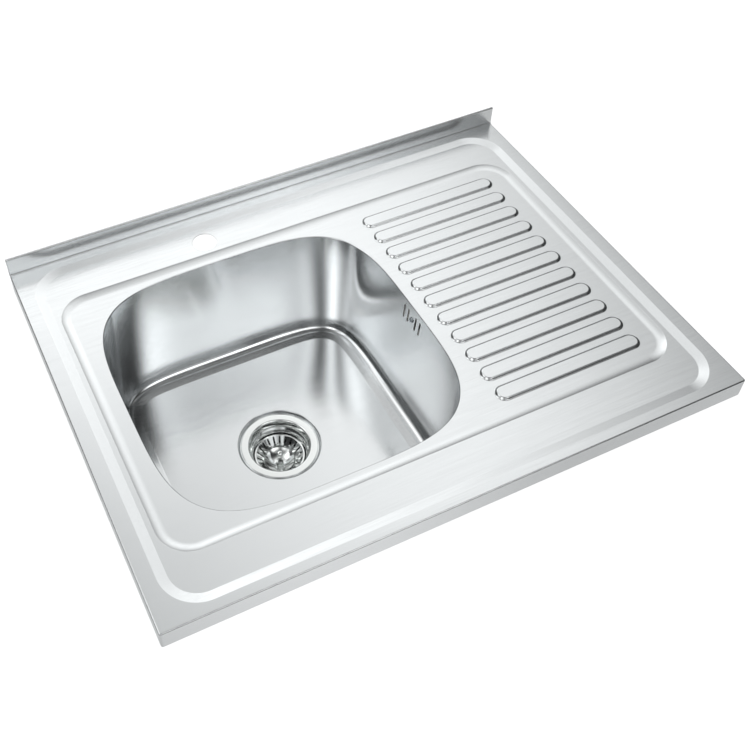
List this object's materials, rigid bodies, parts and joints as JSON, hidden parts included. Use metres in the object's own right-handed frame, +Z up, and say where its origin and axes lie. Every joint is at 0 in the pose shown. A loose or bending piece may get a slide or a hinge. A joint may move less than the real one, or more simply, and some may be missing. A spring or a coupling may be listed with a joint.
{
  "type": "kitchen sink",
  "caption": "Pressed steel lay-on kitchen sink with a square bowl, a ribbed drainer, a rear upstand and a basket strainer that lifts out.",
  "frame": {"origin": "centre of the plane in which the hem under the aprons rests on the cabinet", "axes": "+X to the right, from the bowl to the drainer; +Y to the wall; +Z upwards"},
  "size_m": [0.8, 0.6, 0.3323],
  "materials": {
    "satin_steel": "satin",
    "polished_steel": "polished",
    "plated_steel": "zinc plated",
    "brass": "turned",
    "rubber": "moulded",
    "plastic": "moulded"
  },
  "bodies": {
    "sink": {"deck": "satin_steel", "aprons": "satin_steel", "upstand": "satin_steel", "bowl": "satin_steel", "bowl_floor": "satin_steel", "bowl_pads": "rubber", "drainer_pad": "rubber", "strainer_cup": "polished_steel", "flange_gasket": "rubber", "body_washer": "rubber", "waste_body": "plastic", "waste_outlet": "plastic", "clamp_screw": "plated_steel", "clamp_nut": "brass", "overflow_head": "plastic", "overflow_gasket": "rubber", "overflow_screw": "plated_steel", "overflow_hose": "plastic", "hose_washer": "rubber", "hose_nut": "plastic", "fixing_brackets": "plated_steel"},
    "basket": {"strainer_basket": "polished_steel", "basket_plate": "polished_steel", "basket_knob": "polished_steel", "basket_plug": "rubber", "basket_stem": "plated_steel"}
  },
  "joints": [
    {"name": "basket_lift", "type": "slide", "parent": "sink", "child": "basket", "axis": [0, 0, 1], "range_m": [0, 0.065]}
  ]
}
